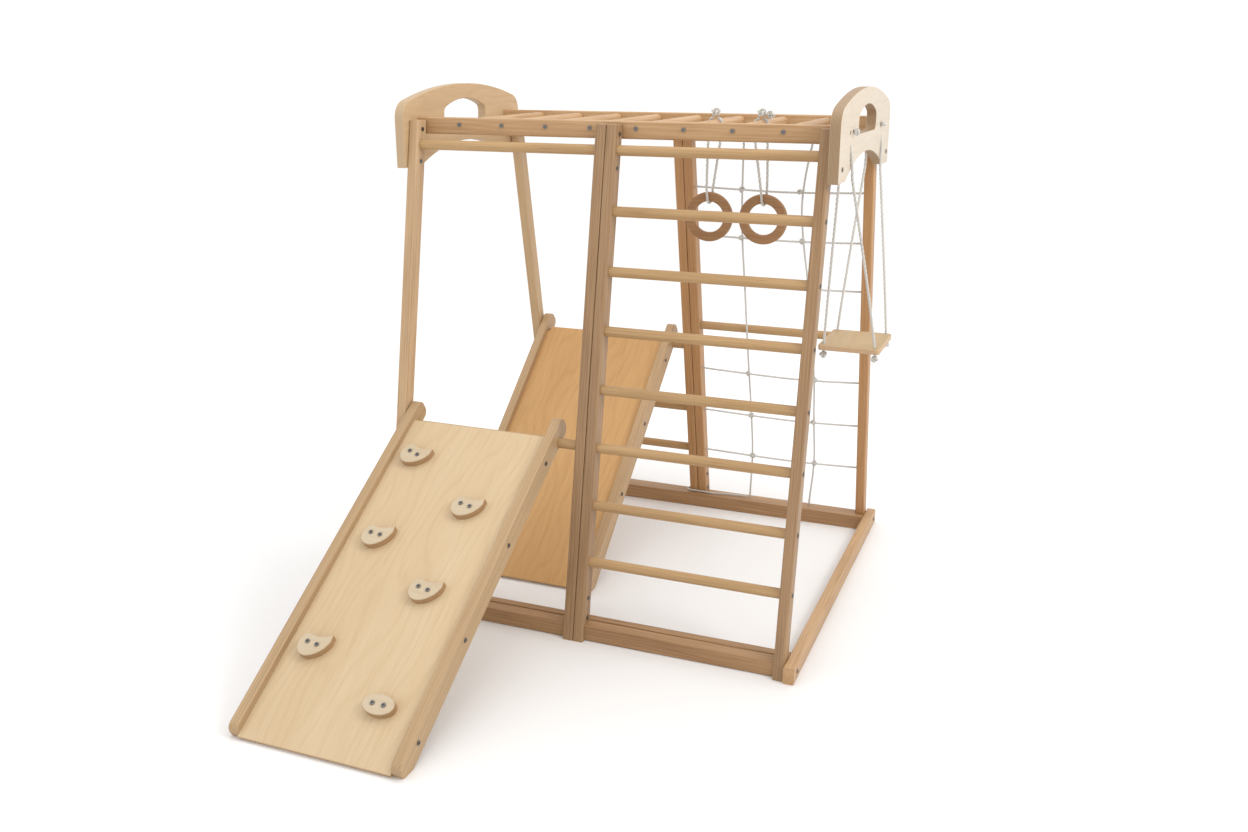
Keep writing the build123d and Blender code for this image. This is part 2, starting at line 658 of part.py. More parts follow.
def ramp_nodes():
    x0, x1 = RAMP_X0, RAMP_X1
    bolts = slope_bolts(x0, x1, RAMP_PIVOT_Z, RAMP_RUN)
    screws = [s for hold in HOLDS for s in hold_screws(hold)]
    board = slope_board(x0, x1, RAMP_PIVOT_Z, RAMP_RUN, 4.0)
    rail = slope_rail(x0, RAMP_PIVOT_Z, RAMP_RUN)
    far = slope_rail(x1 - SLOPE_RAIL_W, RAMP_PIVOT_Z, RAMP_RUN)
    nodes = {"ramp_board": [drill(drill(board, bolts), screws)], "ramp_rail_left": [drill(rail, bolts)],
             "ramp_rail_right": [drill(far, bolts)], "ramp_holds": [ramp_hold(hold) for hold in HOLDS],
             "ramp_bolts": [bolt(*b) for b in bolts + screws]}
    return {name: [RAMP_PLACE * p for p in parts] for name, parts in nodes.items()}


def slide_nodes():
    x0, x1 = SLIDE_X0, SLIDE_X1
    bolts = slope_bolts(x0, x1, SLIDE_RUNG_Z, SLIDE_RUN)
    board = slope_board(x0, x1, SLIDE_RUNG_Z, SLIDE_RUN, -8.0, 11.0)
    rail = slope_rail(x0, SLIDE_RUNG_Z, SLIDE_RUN)
    far = slope_rail(x1 - SLOPE_RAIL_W, SLIDE_RUNG_Z, SLIDE_RUN)
    nodes = {"slide_board": [drill(board, bolts)], "slide_rail_left": [drill(rail, bolts)],
             "slide_rail_right": [drill(far, bolts)], "slide_bolts": [bolt(*b) for b in bolts]}
    return {name: [SLIDE_PLACE * p for p in parts] for name, parts in nodes.items()}


def hanging_nodes():
    nodes = {}
    for i, name in enumerate(("left", "right")):
        bar_x, ring_x = RING_SPOTS[i]
        nodes["ring_" + name] = [ring(ring_x)]
        loop = rope(ring_rope_points(bar_x, ring_x), RING_ROPE_RADII, ROPE_D)
        nodes["ring_rope_" + name] = [loop] + ring_knot(bar_x, i == 1)
    nodes["swing_seat"] = [swing_seat()]
    nodes["swing_ropes"] = [rope(p, gentle(p), ROPE_D) for p in swing_strands()] + seat_knots()
    nodes["swing_rope_ends"] = [rope(p, [PANEL_ARC], ROPE_D) for p in swing_rope_ends()] + panel_knots()
    uprights = [net_upright_points(c) for c in (0, 1)]
    rows = [net_row_points(z, 2.0 + i % 3) for i, z in enumerate(net_heights())]
    nodes["net_uprights"] = [rope(p, gentle(p), NET_D) for p in uprights]
    tail = net_tail_points()
    nodes["net_rows"] = [rope(p, gentle(p), NET_D) for p in rows] + [rope(tail, gentle(tail), NET_D)]
    return nodes


def bolt_nodes():
    frame = []
    for side_y in (-1, 1):
        frame += joiner_bolts(side_y) + bar_bolts(side_y)
        for side_x in (-1, 1):
            frame += end_bolts(side_x, side_y) + inner_bolts(side_x, side_y)
    frame += [b for s in (-1, 1) for b in side_rail_bolts(s)]
    panels = [b for s in (-1, 1) for b in panel_bolts(s)]
    return {"frame_bolts": [bolt(*b) for b in frame], "panel_bolts": [bolt(*b) for b in panels]}


def centred(nodes):
    """Moves the set so that the origin is below the middle of its bounding box, at the floor."""
    net = ("net_uprights", "net_rows")
    boxes = [part.bounding_box() for node in nodes if node not in net for part in nodes[node]]
    x = (min(b.min.X for b in boxes) + max(b.max.X for b in boxes)) / 2
    y = (min(b.min.Y for b in boxes) + max(b.max.Y for b in boxes)) / 2
    print("origin moved to", round(x, 4), round(y, 4))
    return {node: [Pos(-x, -y, 0) * part for part in parts] for node, parts in nodes.items()}


os.makedirs("parts", exist_ok=True)
everything = {}
for make in (frame_nodes, ramp_nodes, slide_nodes, hanging_nodes, bolt_nodes):
    everything.update(make())
for node, solids in centred(everything).items():
    shape = solids[0] if len(solids) == 1 else Compound(children=list(solids))
    export_step(shape, "parts/" + node + ".step")
    print(node, len(solids), round(sum(s.volume for s in solids)))
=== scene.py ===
import bpy
import numpy as np
from math import radians
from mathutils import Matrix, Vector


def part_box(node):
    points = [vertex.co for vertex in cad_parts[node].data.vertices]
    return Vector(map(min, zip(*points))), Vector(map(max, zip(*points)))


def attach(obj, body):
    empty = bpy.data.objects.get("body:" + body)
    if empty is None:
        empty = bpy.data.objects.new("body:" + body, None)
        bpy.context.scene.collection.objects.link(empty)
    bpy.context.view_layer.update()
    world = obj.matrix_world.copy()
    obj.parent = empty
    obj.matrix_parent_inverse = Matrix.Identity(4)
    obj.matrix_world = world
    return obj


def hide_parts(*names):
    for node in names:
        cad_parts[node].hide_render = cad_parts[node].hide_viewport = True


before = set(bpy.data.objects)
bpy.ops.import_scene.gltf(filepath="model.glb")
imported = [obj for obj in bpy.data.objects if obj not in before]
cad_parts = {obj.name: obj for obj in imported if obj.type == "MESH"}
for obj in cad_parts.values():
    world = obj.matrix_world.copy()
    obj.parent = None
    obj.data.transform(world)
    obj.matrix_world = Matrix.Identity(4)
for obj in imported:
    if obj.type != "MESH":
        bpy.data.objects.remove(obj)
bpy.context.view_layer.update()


class Socket:
    """A shader value with arithmetic: each operator adds one Math node to the material's tree."""

    def __init__(self, tree, out):
        self.tree = tree
        self.out = out

    def math(self, operation, *others):
        node = self.tree.nodes.new("ShaderNodeMath")
        node.operation = operation
        for slot, value in zip(node.inputs, (self,) + others):
            if isinstance(value, Socket):
                self.tree.links.new(value.out, slot)
            else:
                slot.default_value = value
        return Socket(self.tree, node.outputs[0])

    def __add__(self, other):
        return self.math("ADD", other)

    def __radd__(self, other):
        return self.math("ADD", other)

    def __mul__(self, other):
        return self.math("MULTIPLY", other)

    def __rmul__(self, other):
        return self.math("MULTIPLY", other)

    def __sub__(self, other):
        return self.math("SUBTRACT", other)

    def __rsub__(self, other):
        return self.math("MULTIPLY", -1.0).math("ADD", other)

    def __pow__(self, other):
        return self.math("POWER", other)

    def above(self, edge, width):
        """0 below edge, 1 above edge + width, straight between."""
        return ((self - edge) * (1.0 / width)).math("MAXIMUM", 0.0).math("MINIMUM", 1.0)

    def node(self, kind, inputs, out=0, **settings):
        """Any other node: its settings, its inputs by name or index, and the output wanted."""
        made = self.tree.nodes.new(kind)
        for key, value in settings.items():
            setattr(made, key, value)
        for key, value in inputs.items():
            if isinstance(value, Socket):
                self.tree.links.new(value.out, made.inputs[key])
            else:
                made.inputs[key].default_value = value
        return Socket(self.tree, made.outputs[out])

    def mix(self, a, b):
        """Colour a where this value is 0 and b where it is 1."""
        return self.node("ShaderNodeMix", {0: self, 6: a, 7: b}, out=2, data_type="RGBA")


def material(name, roughness):
    """An empty Principled material and its object coordinates as x, y, z sockets."""
    mat = bpy.data.materials.new(name)
    mat.use_nodes = True
    tree = mat.node_tree
    shader = tree.nodes["Principled BSDF"]
    shader.inputs["Roughness"].default_value = roughness
    where = Socket(tree, tree.nodes.new("ShaderNodeTexCoord").outputs["Object"])
    split = tree.nodes.new("ShaderNodeSeparateXYZ")
    tree.links.new(where.out, split.inputs[0])
    x, y, z = (Socket(tree, out) for out in split.outputs)
    return mat, shader, (x, y, z)


def facing(x):
    """The surface normal's x, y and z, from the geometry node of the same tree."""
    tree = x.tree
    geometry = tree.nodes.new("ShaderNodeNewGeometry")
    split = tree.nodes.new("ShaderNodeSeparateXYZ")
    tree.links.new(geometry.outputs["Normal"], split.inputs[0])
    return tuple(Socket(tree, out) for out in split.outputs)


def join(x, y, z):
    return x.node("ShaderNodeCombineXYZ", {0: x, 1: y, 2: z})


def timber(name, along, light, dark, figure=1.0, seed=0.0, rough=0.46):
    """Straight-grained varnished softwood. along names the grain: the board's x, y or z, or a
    pair (y, z share) for a leaning post. Growth lines are waves across the grain, bent by slow
    noise along it; fine pores are short streaks."""
    mat, shader, (x, y, z) = material(name, rough)
    if along == "x":
        a, b, c = x, y, z
    elif along == "y":
        a, b, c = y, x, z
    else:
        a, b, c = z, x, y + z * along
    piece = (b * 9.0 + seed).math("FLOOR") * 3.7 + (c * 5.0).math("FLOOR") * 1.9
    slow = x.node("ShaderNodeTexNoise", {"Vector": join(a * 1.6 + piece, b * 14.0, c * 14.0), "Scale": 1.0,
                                         "Detail": 2.0})
    rings = ((b * 0.8 + c * 0.6 + slow * 0.035 + a * 0.012) * 900.0).math("SINE") * 0.5 + 0.5
    streak = x.node("ShaderNodeTexNoise", {"Vector": join(a * 7.0 + seed, b * 420.0, c * 420.0), "Scale": 1.0,
                                           "Detail": 4.0})
    cloud = x.node("ShaderNodeTexNoise", {"Vector": join(a * 2.2 + piece * 2.0, b * 22.0, c * 22.0), "Scale": 1.0,
                                          "Detail": 3.0})
    shade = (rings * 0.16 + streak * 0.90 + cloud * 0.85) * figure - 0.46
    tone = shade.math("MAXIMUM", 0.0).math("MINIMUM", 1.0).mix(light + (1.0,), dark + (1.0,))
    pore = streak.above(0.60, 0.12) * 0.35
    tone = pore.mix(tone, tuple(v * 0.62 for v in dark) + (1.0,))
    x.tree.links.new(tone.out, shader.inputs["Base Color"])
    bump = x.node("ShaderNodeBump", {"Height": streak * 0.6 + rings * 0.4, "Strength": 0.12, "Distance": 0.0006})
    x.tree.links.new(bump.out, shader.inputs["Normal"])
    x.tree.links.new((streak * 0.16 + rough - 0.08).out, shader.inputs["Roughness"])
    shader.inputs["Specular IOR Level"].default_value = 0.3
    shader.inputs["Coat Weight"].default_value = 0.05
    shader.inputs["Coat Roughness"].default_value = 0.35
    return mat


def plywood(name, plane, light, dark, thick, layers=7, edge_light=(0.62, 0.44, 0.27), edge_dark=(0.36, 0.22, 0.12)):
    """Rotary-cut veneer: broad cathedral figure on the faces, layers on the edges. plane gives
    the sheet's thickness direction as (x, y, z) and the grain direction; the layers are bands of
    the distance through the sheet, shown where the surface faces away from that direction."""
    mat, shader, (x, y, z) = material(name, 0.5)
    t, g, offset = plane
    through = x * t[0] + y * t[1] + z * t[2] - offset
    a = x * g[0] + y * g[1] + z * g[2]
    s = np.cross(t, g)
    b = x * float(s[0]) + y * float(s[1]) + z * float(s[2])
    warp = x.node("ShaderNodeTexNoise", {"Vector": join(a * 1.7, b * 5.5, through * 0.0), "Scale": 1.0, "Detail": 2.0})
    figure = ((b + warp * 0.30 + a * 0.02) * 170.0).math("SINE") * 0.5 + 0.5
    fine = x.node("ShaderNodeTexNoise", {"Vector": join(a * 9.0, b * 300.0, through * 300.0), "Scale": 1.0, "Detail": 4.0})
    cloud = x.node("ShaderNodeTexNoise", {"Vector": join(a * 1.3, b * 7.0, through * 0.0 + 3.0), "Scale": 1.0,
                                          "Detail": 2.0})
    shade = (figure ** 4.0 * 0.13 + fine * 0.62 + cloud * 0.6 - 0.32).math("MAXIMUM", 0.0).math("MINIMUM", 1.0)
    face = shade.mix(light + (1.0,), dark + (1.0,))
    bands = ((through * (layers / thick)).math("FRACT") - 0.5).math("ABSOLUTE").above(0.20, 0.10)
    edge = (bands * 0.75 + fine * 0.25).mix(edge_light + (1.0,), edge_dark + (1.0,))
    nx, ny, nz = facing(x)
    flat = (nx * t[0] + ny * t[1] + nz * t[2]).math("ABSOLUTE").above(0.55, 0.2)
    x.tree.links.new(flat.mix(edge, face).out, shader.inputs["Base Color"])
    bump = x.node("ShaderNodeBump", {"Height": fine * 0.7 + bands * (1.0 - flat) * 0.6, "Strength": 0.15,
                                     "Distance": 0.0006})
    x.tree.links.new(bump.out, shader.inputs["Normal"])
    shader.inputs["Specular IOR Level"].default_value = 0.3
    shader.inputs["Coat Weight"].default_value = 0.05
    shader.inputs["Coat Roughness"].default_value = 0.4
    return mat


def paint(mat, *nodes):
    for name in nodes:
        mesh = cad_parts[name].data
        mesh.materials.clear()
        mesh.materials.append(mat)


# ---- place of the set ----
# The set's own middle (under the ladder's inner posts) lies beside the origin, which is under the
# middle of the bounding box. OX and OY are that step, in metres.
post_low, post_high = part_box("post_front_mid_right")
back_low, back_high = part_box("post_back_mid_right")
OX = float(post_low[0]) - 0.0005
OY = float(post_low[1] + back_high[1]) / 2
LEAN = np.arctan(265.0 / 1400.0)

# ---- camera ----
cam = bpy.data.objects.new("camera", bpy.data.cameras.new("camera"))
bpy.context.collection.objects.link(cam)
cam.location = (1.2061 + OX, -3.2246 + OY, 1.5589)
cam.rotation_euler = (radians(72.754), 0.0, radians(21.727))
cam.data.lens = 33.18
cam.data.sensor_width = 36.0
cam.data.clip_end = 60.0
bpy.context.scene.camera = cam

# ---- ropes ----
# White cotton rope laid up from three strands. Every rope is a real one: the swing's four hang from
# stopper knots in the end panel, the rings' two are loops over a bar, the net's are led from post to post.
ROPE_D = 0.008
NET_D = 0.007


def rope_material():
    """Bleached cotton: fine crossing fibres, slightly grey in the grooves as painted shade (the fibre noise that
    raises the bump also darkens its low spots), soft sheen and no gloss.
    """
    mat, shader, (x, y, z) = material("cotton_rope", 0.92)
    fibre = x.node("ShaderNodeTexNoise", {"Vector": join(x * 1.0, y * 1.0, z * 1.0), "Scale": 900.0, "Detail": 3.0})
    soil = x.node("ShaderNodeTexNoise", {"Vector": join(x * 1.0, y * 1.0, z * 1.0), "Scale": 24.0, "Detail": 2.0})
    # painted shade: the low spots of the fibre bump are darker; the soil noise adds random tone
    tone = (fibre * 0.5 + soil * 0.5).mix((0.50, 0.48, 0.44, 1.0), (0.66, 0.64, 0.60, 1.0))
    x.tree.links.new(tone.out, shader.inputs["Base Color"])
    bump = x.node("ShaderNodeBump", {"Height": fibre, "Strength": 0.35, "Distance": 0.0004})
    x.tree.links.new(bump.out, shader.inputs["Normal"])
    shader.inputs["Sheen Weight"].default_value = 0.2
    return mat


COTTON = rope_material()


def spline_points(points):
    """The route as one smooth curve, read back as points: a quadratic NURBS whose control points
    are the route's, clamped at both ends."""
    data = bpy.data.curves.new("route", "CURVE")
    data.dimensions = "3D"
    data.resolution_u = 24
    spline = data.splines.new("NURBS")
    spline.points.add(len(points) - 1)
    for p, q in zip(spline.points, points):
        p.co = (q[0] + OX, q[1] + OY, q[2], 1.0)
    spline.order_u = 3
    spline.use_endpoint_u = True
    holder = bpy.data.objects.new("route", data)
    mesh = bpy.data.meshes.new_from_object(holder)
    co = np.empty(len(mesh.vertices) * 3)
    mesh.vertices.foreach_get("co", co)
    bpy.data.objects.remove(holder)
    bpy.data.meshes.remove(mesh)
    return co.reshape(-1, 3)


def resample(path, step):
    """Evenly spaced points along a path, and its length."""
    gaps = np.linalg.norm(np.diff(path, axis=0), axis=1)
    run = np.concatenate([[0.0], np.cumsum(gaps)])
    count = max(8, int(round(run[-1] / step)))
    at = np.linspace(0.0, run[-1], count + 1)
    return np.stack([np.interp(at, run, path[:, i]) for i in range(3)], axis=1), run[-1]


def strands(name, path, d, closed=False, sides=7, pitch=5.2):
    """Three strands twisted round a path. A strand's centre is 0.52 r from the middle, at the angle
    2 pi s / (pitch d) + 2 pi k / 3 in a frame carried along the path without spin; its own radius is 0.48 r."""
    line, length = resample(path, d * 0.36)
    n = len(line)
    tangent = np.gradient(line, axis=0)
    tangent /= np.linalg.norm(tangent, axis=1)[:, None]
    u = np.empty_like(line)
    first = np.cross(tangent[0], (0.31, 0.17, 0.93))
    u[0] = first / np.linalg.norm(first)
    for i in range(1, n):
        v = u[i - 1] - tangent[i] * np.dot(u[i - 1], tangent[i])
        u[i] = v / np.linalg.norm(v)
    w = np.cross(tangent, u)
    turns = length / (pitch * d)
    if closed:
        turns = max(1.0, round(turns))
    phase = np.linspace(0.0, 2 * np.pi * turns, n)
    r = d / 2
    verts = []
    faces = []
    around = np.linspace(0.0, 2 * np.pi, sides, endpoint=False)
    for k in range(3):
        angle = phase + 2 * np.pi * k / 3
        mid = line + 0.52 * r * (np.cos(angle)[:, None] * u + np.sin(angle)[:, None] * w)
        ring = (np.cos(around)[None, :, None] * u[:, None, :] + np.sin(around)[None, :, None] * w[:, None, :])
        grid = mid[:, None, :] + 0.48 * r * ring
        base = k * n * sides
        verts.append(grid.reshape(-1, 3))
        i, j = np.meshgrid(np.arange(n - 1), np.arange(sides), indexing="ij")
        a = base + i * sides + j
        b = base + i * sides + (j + 1) % sides
        faces.append(np.stack([a, b, b + sides, a + sides], axis=-1).reshape(-1, 4))
        for end in (0, n - 1):
            for j in range(1, sides - 1):
                faces.append(np.array([[base + end * sides, base + end * sides + j, base + end * sides + j + 1,
                                        base + end * sides + j + 1]]))
    mesh = bpy.data.meshes.new(name)
    quads = np.concatenate(faces)
    mesh.from_pydata(np.concatenate(verts).tolist(), [], [tuple(dict.fromkeys(q)) for q in quads.tolist()])
    mesh.shade_smooth()
    mesh.materials.append(COTTON)
    obj = bpy.data.objects.new(name, mesh)
    bpy.context.collection.objects.link(obj)
    return obj, line, length


def laid_rope(name, points, d, body, node):
    obj, line, length = strands(name, spline_points(points), d)
    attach(obj, body)
    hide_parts(node)
    return obj, line, length


def knot(name, centre, radius, d, body, node, turn=0.0, flat=1.0):
    """A pulled-tight overhand knot: the trefoil (2 + cos 3t)(cos 2t, sin 2t), sin 3t, scaled so that
    its outside is radius."""
    t = np.linspace(0.0, 2 * np.pi, 121)
    s = (radius - d / 2) / 3.0
    x = (2 + np.cos(3 * t)) * np.cos(2 * t + turn) * s
    y = (2 + np.cos(3 * t)) * np.sin(2 * t + turn) * s
    z = np.sin(3 * t) * s * 1.5 * flat
    tilt = turn * 0.7 + 0.5
    path = np.stack([x, y * np.cos(tilt) - z * np.sin(tilt), y * np.sin(tilt) + z * np.cos(tilt)], axis=1)
    path += np.array(centre) + np.array((OX, OY, 0.0))
    obj, line, length = strands(name, path, d, closed=True)
    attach(obj, body)
    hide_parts(node)
    return obj


def front_outer(z):
    return 0.590 - 0.265 * z / 1.4


POST_Y = 0.045 / np.cos(LEAN)


def back_y(z):
    return front_outer(z) - POST_Y / 2


# ---- rings' ropes ----
# One loop each: knot on top of the bar, down in front, through the ring and up behind.
RING_Z = 1.120
BAR_Z = 1.381
for side, bar_x, ring_x in (("left", 0.201, 0.188), ("right", 0.335, 0.350)):
    out = 0.014 + ROPE_D / 2 + 0.0004
    top = BAR_Z + out
    through = RING_Z + 0.0715 - 0.027 - ROPE_D / 2 - 0.0008
    gap = 0.0085 + ROPE_D / 2 + 0.0006
    crest = RING_Z + 0.0715 + 0.006
    route = [(bar_x - 0.0045, -0.003, top), (bar_x - out, -0.0035, top), (bar_x - out, -0.004, BAR_Z - 0.024),
             (ring_x - 0.006, -gap, crest + 0.008), (ring_x - 0.0015, -gap, through),
             (ring_x + 0.0015, gap, through), (ring_x + 0.006, gap, crest + 0.008),
             (bar_x + out, 0.004, BAR_Z - 0.024), (bar_x + out, 0.0035, top), (bar_x + 0.0045, 0.003, top)]
    body = "ring_" + side
    node = "ring_rope_" + side
    loop, line, length = laid_rope(node + "_loop", route, ROPE_D, body, node)
    z = BAR_Z + 0.014 + ROPE_D + 0.013
    knots = [knot(node + "_knot", (bar_x, 0.0, z), 0.0145, ROPE_D, body, node, turn=0.4)]
    if side == "right":
        knots.append(knot(node + "_tail_knot", (bar_x + 0.026, 0.0, z - 0.006), 0.013, ROPE_D, body, node, turn=2.0))

# ---- swing ropes ----
# Four ropes: stopper knot, through the panel, down its face to the lower edge, then to the seat's corner.
HOLE_Z = 1.381
SEAT_TOP = 0.794
BEND_Z = 1.262
SEAT_CX = 0.634
PANEL_X = 0.6043
mid = PANEL_X + 0.014
number = 0
for sy in (-1, 1):
    for sx in (-1, 1):
        number += 1
        hole_y = 0.238 if sx > 0 else 0.204
        foot = 0.092
        x = mid + sx * (0.014 + ROPE_D / 2 + 0.0015)
        cx = SEAT_CX + sx * 0.072
        low = BEND_Z + 0.004
        high = BEND_Z - 0.004
        y_low = sy * (hole_y + (foot - hole_y) * (HOLE_Z - low) / (HOLE_Z - SEAT_TOP))
        y_high = sy * (hole_y + (foot - hole_y) * (HOLE_Z - high) / (HOLE_Z - SEAT_TOP))
        y_bend = (y_low + y_high) / 2
        end, line, length = laid_rope("swing_rope_top_%d" % number,
                                      [(mid - sx * 0.012, sy * hole_y, HOLE_Z), (x, sy * hole_y, HOLE_Z),
                                       (x, y_bend, BEND_Z)], ROPE_D, "frame", "swing_rope_ends")
        stop = knot("swing_stop_knot_%d" % number, (mid - sx * 0.0224, sy * hole_y, HOLE_Z), 0.0105, ROPE_D,
                    "frame", "swing_rope_ends", turn=1.3 * number)
        hang, line, length = laid_rope("swing_rope_%d" % number,
                                       [(x, y_bend, BEND_Z), (cx, sy * foot, SEAT_TOP + 0.022),
                                        (cx, sy * foot, 0.773)], ROPE_D, "swing", "swing_ropes")
        under = knot("swing_seat_knot_%d" % number, (cx, sy * foot, 0.7637), 0.0115, ROPE_D, "swing",
                     "swing_ropes", turn=0.9 * number)

# ---- rope net ----
# Two uprights from the top rung to the bottom rail, tied where the rows cross; the rows end in holes in
# the posts, and the last row's loose end is led round the feet of the middle posts.
NET_XS = (0.190, 0.406)
WANDER = ((-0.004, -0.008, -0.002, 0.008, 0.006, 0.012, 0.014), (-0.030, -0.024, -0.004, 0.010, 0.017, 0.015, 0.020))
ROWS = [0.220 + 0.158 * i for i in range(7)]
BAR = ROWS[3]
RAIL_MID = (0.590 - 0.015 - 0.038 + 0.590 - 0.015) / 2
crossings = []
for column in (0, 1):
    points = []
    for z, dx in zip(sorted(ROWS, reverse=True), WANDER[column]):
        y = back_y(z)
        if z == BAR:
            y -= (0.014 + NET_D / 2 + 0.005) / np.cos(LEAN)
        points.append((NET_XS[column] + dx, y, z))
    crossings.append(points)
    z = 0.220 + 0.158 * 7
    x = NET_XS[column]
    route = [(x + 0.006, back_y(z), z - 0.0155)] + points + [(x, RAIL_MID, 0.062), (x, RAIL_MID, 0.036)]
    rope, line, length = laid_rope("net_upright_%d" % (column + 1), route, NET_D, "frame", "net_uprights")
for i, z in enumerate([z for z in ROWS if z != BAR]):
    sag = 0.002 + 0.001 * (i % 3)
    ahead = (NET_D + 0.0034) / np.cos(LEAN)
    route = [(0.0225, back_y(z), z)]
    for column in (0, 1):
        x, y, zz = [p for p in crossings[column] if abs(p[2] - z) < 0.001][0]
        route.append((x, y - ahead, zz - sag * (1 + column)))
        knot("net_knot_%d_%d" % (i + 1, column + 1), (x, y - ahead / 2, zz - sag), 0.0115, NET_D,
                         "frame", "net_rows", turn=1.1 * i + 2.0 * column, flat=1.1)
    route.append((0.582, back_y(z), z))
    rope, line, length = laid_rope("net_row_%d" % (i + 1), route, NET_D, "frame", "net_rows")
TAIL_Z = 0.0525
face = front_outer(TAIL_Z) - POST_Y - NET_D / 2 - 0.0008
around = -0.0305 - NET_D / 2 - 0.007
route = [(-0.0225, back_y(TAIL_Z), TAIL_Z), (around, back_y(TAIL_Z), TAIL_Z), (around, face - 0.0005, TAIL_Z),
         (0.016, face, TAIL_Z), (0.062, face - 0.005, TAIL_Z), (0.112, face + 0.009, TAIL_Z),
         (NET_XS[0] - 0.008, face + 0.012, TAIL_Z)]
rope, line, length = laid_rope("net_tail", route, NET_D, "frame", "net_rows")

# ---- timber ----
# Solid softwood, planed, with rounded edges and a clear satin varnish. The posts get tones of their own: the
# front-left and back-left posts paler, the back middle and right posts darker, the front middle and right posts
# darkest.
PALE = (0.58, 0.38, 0.205)
WARM = (0.34, 0.18, 0.075)
pine_x = timber("pine_x", "x", PALE, WARM)
pine_y = timber("pine_y", "y", PALE, WARM, seed=4.0)
post_front = timber("pine_post_front", -float(np.tan(LEAN)), (0.42, 0.27, 0.145), (0.20, 0.105, 0.048), seed=2.0)
post_pale = timber("pine_post_pale", -float(np.tan(LEAN)), (0.60, 0.42, 0.25), (0.36, 0.22, 0.11), seed=17.0)
back_pale = timber("pine_back_pale", float(np.tan(LEAN)), (0.60, 0.43, 0.25), (0.38, 0.24, 0.12), seed=19.0)
post_back = timber("pine_post_back", float(np.tan(LEAN)), (0.52, 0.30, 0.14), (0.31, 0.145, 0.052), seed=7.0)
paint(post_front, "post_front_mid_left", "post_front_mid_right", "post_front_right")
paint(post_pale, "post_front_left")
paint(back_pale, "post_back_left")
paint(post_back, "post_back_mid_left", "post_back_mid_right", "post_back_right")
paint(pine_x, "top_rail_front", "top_rail_back")
# painted shade: the bottom rails and floor beams get a darker copy of the pine to stand in for the shade on their low
# faces
pine_low_shaded = timber("pine_low_shaded", "x", (0.46, 0.28, 0.14), (0.23, 0.115, 0.048), seed=13.0)
paint(pine_low_shaded, "bottom_rails_front", "bottom_rails_back", "floor_beam_front", "floor_beam_back")
paint(pine_y, "side_rail_left", "side_rail_right", *["monkey_bar_%d" % (i + 1) for i in range(8)])
rung_wood = timber("pine_rung", "x", (0.50, 0.32, 0.155), (0.29, 0.165, 0.068), figure=0.9, seed=9.0)
paint(rung_wood, "front_left_top_rung", "ramp_pivot_rung", "slide_pivot_rung", "back_left_low_rungs",
      "back_top_rungs", "net_mid_bar", *["ladder_rung_%d" % (i + 1) for i in range(8)])

# ---- end panels ----
# 28 mm plywood with a sanded edge that shows its layers. The right panel gets a pale copy for its lit face, the left a
# darker, more orange copy as painted shade for its shaded inner face.
panel = plywood("panel_plywood", ((1.0, 0.0, 0.0), (0.0, 1.0, 0.0), 0.0), (0.62, 0.54, 0.44), (0.47, 0.37, 0.26),
                0.028, layers=9, edge_light=(0.38, 0.26, 0.155), edge_dark=(0.24, 0.15, 0.08))
# painted shade: the left panel's darker, more orange copy of the plywood stands in for the shade on its inner face
shaded_panel = plywood("panel_plywood_shaded", ((1.0, 0.0, 0.0), (0.0, 1.0, 0.0), 0.0), (0.56, 0.39, 0.225),
                     (0.38, 0.24, 0.115), 0.028, layers=9, edge_light=(0.56, 0.42, 0.27),
                     edge_dark=(0.40, 0.27, 0.15))
paint(panel, "end_panel_right")
paint(shaded_panel, "end_panel_left")

# ---- ramp ----
# Birch-faced board between two solid rails, with plywood grips screwed on.
RAMP_A = float(np.arctan2(0.536, 0.865) + np.arcsin(0.0144 / np.hypot(0.536, 0.865)))
normal = (0.0, -float(np.sin(RAMP_A)), float(np.cos(RAMP_A)))
down = (0.0, -float(np.cos(RAMP_A)), -float(np.sin(RAMP_A)))
ramp_face = plywood("ramp_plywood", (normal, down, 0.0), (0.64, 0.50, 0.32), (0.47, 0.31, 0.155), 0.012, layers=5)
paint(ramp_face, "ramp_board")
grip = plywood("grip_plywood", (normal, (1.0, 0.0, 0.0), 0.0), (0.58, 0.47, 0.33), (0.45, 0.34, 0.21), 0.020,
               layers=6, edge_light=(0.50, 0.33, 0.18), edge_dark=(0.27, 0.15, 0.07))
paint(grip, "ramp_holds")
ramp_rail = timber("ramp_rail_pine", float(down[1] / down[2]) * -1.0, (0.54, 0.38, 0.215), (0.33, 0.205, 0.105), seed=3.0)
paint(ramp_rail, "ramp_rail_left", "ramp_rail_right")

# ---- slide ----
# The same build with a varnished face and no grips; the face's darker, more orange colour than the ramp's is painted
# shade for the shade the slide lies in.
SLIDE_A = float(np.arctan2(0.615, 0.743) + np.arcsin(0.0144 / np.hypot(0.615, 0.743)))
normal = (0.0, -float(np.sin(SLIDE_A)), float(np.cos(SLIDE_A)))
down = (0.0, -float(np.cos(SLIDE_A)), -float(np.sin(SLIDE_A)))
# painted shade: darker, more orange face colours stand in for the shade on the slide
slide_face_shaded = plywood("slide_plywood", (normal, down, 0.0), (0.62, 0.37, 0.155), (0.40, 0.20, 0.068), 0.012, layers=5)
paint(slide_face_shaded, "slide_board")
slide_rail = timber("slide_rail_pine", float(down[1] / down[2]) * -1.0, (0.56, 0.39, 0.225), (0.34, 0.205, 0.10), seed=5.0)
paint(slide_rail, "slide_rail_left", "slide_rail_right")

# ---- swing seat and rings ----
seat = plywood("seat_plywood", ((0.0, 0.0, 1.0), (0.0, 1.0, 0.0), 0.0), (0.50, 0.36, 0.20), (0.35, 0.22, 0.105), 0.016,
               layers=5)
paint(seat, "swing_seat")
ring_wood = timber("ring_beech", "x", (0.40, 0.225, 0.105), (0.25, 0.125, 0.052), seed=11.0)
paint(ring_wood, "ring_left", "ring_right")

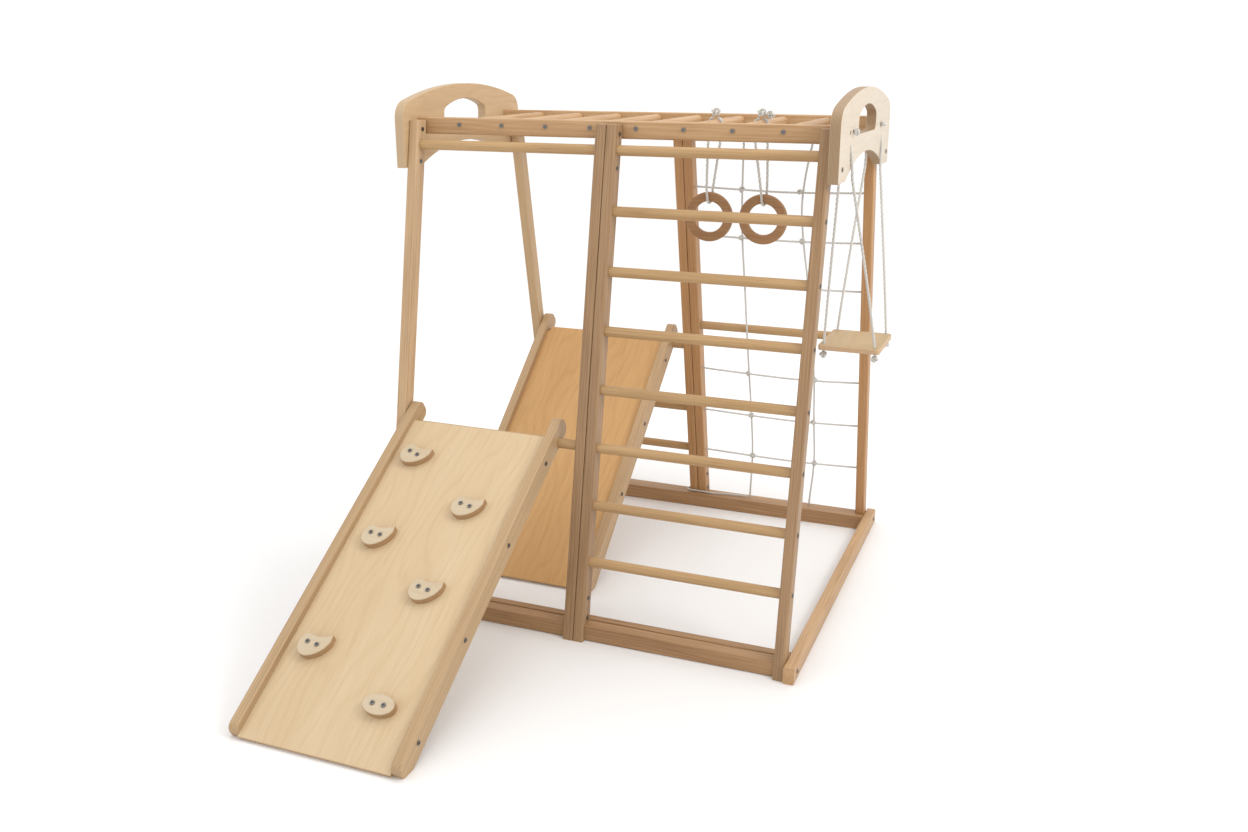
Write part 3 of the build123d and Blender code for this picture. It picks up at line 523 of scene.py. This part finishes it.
# ---- bolts ----
# Zinc-plated heads, dulled by handling.
steel, shader, (x, y, z) = material("bolt_steel", 0.38)
shader.inputs["Metallic"].default_value = 1.0
wear = x.node("ShaderNodeTexNoise", {"Vector": join(x * 1.0, y * 1.0, z * 1.0), "Scale": 700.0, "Detail": 3.0})
x.tree.links.new(wear.mix((0.13, 0.125, 0.12, 1.0), (0.30, 0.29, 0.27, 1.0)).out, shader.inputs["Base Color"])
x.tree.links.new((wear * 0.3 + 0.25).out, shader.inputs["Roughness"])
paint(steel, "frame_bolts", "panel_bolts", "ramp_bolts", "slide_bolts")

# ---- studio ----
# A pale seamless floor, darker within a few metres of the set as painted shade, a bright even surround and three large
# soft lamps.
floor = bpy.data.objects.new("floor", bpy.data.meshes.new("floor"))
floor.data.from_pydata([(-30, -30, 0), (30, -30, 0), (30, 30, 0), (-30, 30, 0)], [], [(0, 1, 2, 3)])
bpy.context.collection.objects.link(floor)
floor_mat, shader, (x, y, z) = material("studio_floor", 0.6)
# painted shade: the floor's colour darkens towards the set, the edge of the darker zone wobbled by noise
floor_shade_wobble = x.node("ShaderNodeTexNoise", {"Vector": join(x * 1.0, y * 1.0, z * 1.0), "Scale": 3.0, "Detail": 2.0})
painted_floor_shade = (x * x + y * y + floor_shade_wobble * 0.2).above(0.5, 3.0).mix((0.80, 0.79, 0.78, 1.0), (0.97, 0.97, 0.97, 1.0))
x.tree.links.new(painted_floor_shade.out, shader.inputs["Base Color"])
floor.data.materials.append(floor_mat)
bpy.context.scene.view_settings.view_transform = "Standard"
world = bpy.data.worlds.new("studio")
world.use_nodes = True
world.node_tree.nodes["Background"].inputs[0].default_value = (1.0, 1.0, 1.0, 1.0)
world.node_tree.nodes["Background"].inputs[1].default_value = 1.06
bpy.context.scene.world = world
for name, place, turn, size, power in (("key", (3.0, -0.6, 3.2), (50, 0, 78), 1.2, 52.0),
                                       ("fill", (-2.6, -2.4, 3.0), (45, 0, -46), 2.4, 6.0),
                                       ("top", (0.0, 0.4, 4.0), (0, 0, 0), 2.0, 26.0)):
    data = bpy.data.lights.new(name, "AREA")
    data.size = size
    data.energy = power
    lamp = bpy.data.objects.new(name, data)
    lamp.location = place
    lamp.rotation_euler = tuple(radians(v) for v in turn)
    bpy.context.collection.objects.link(lamp)
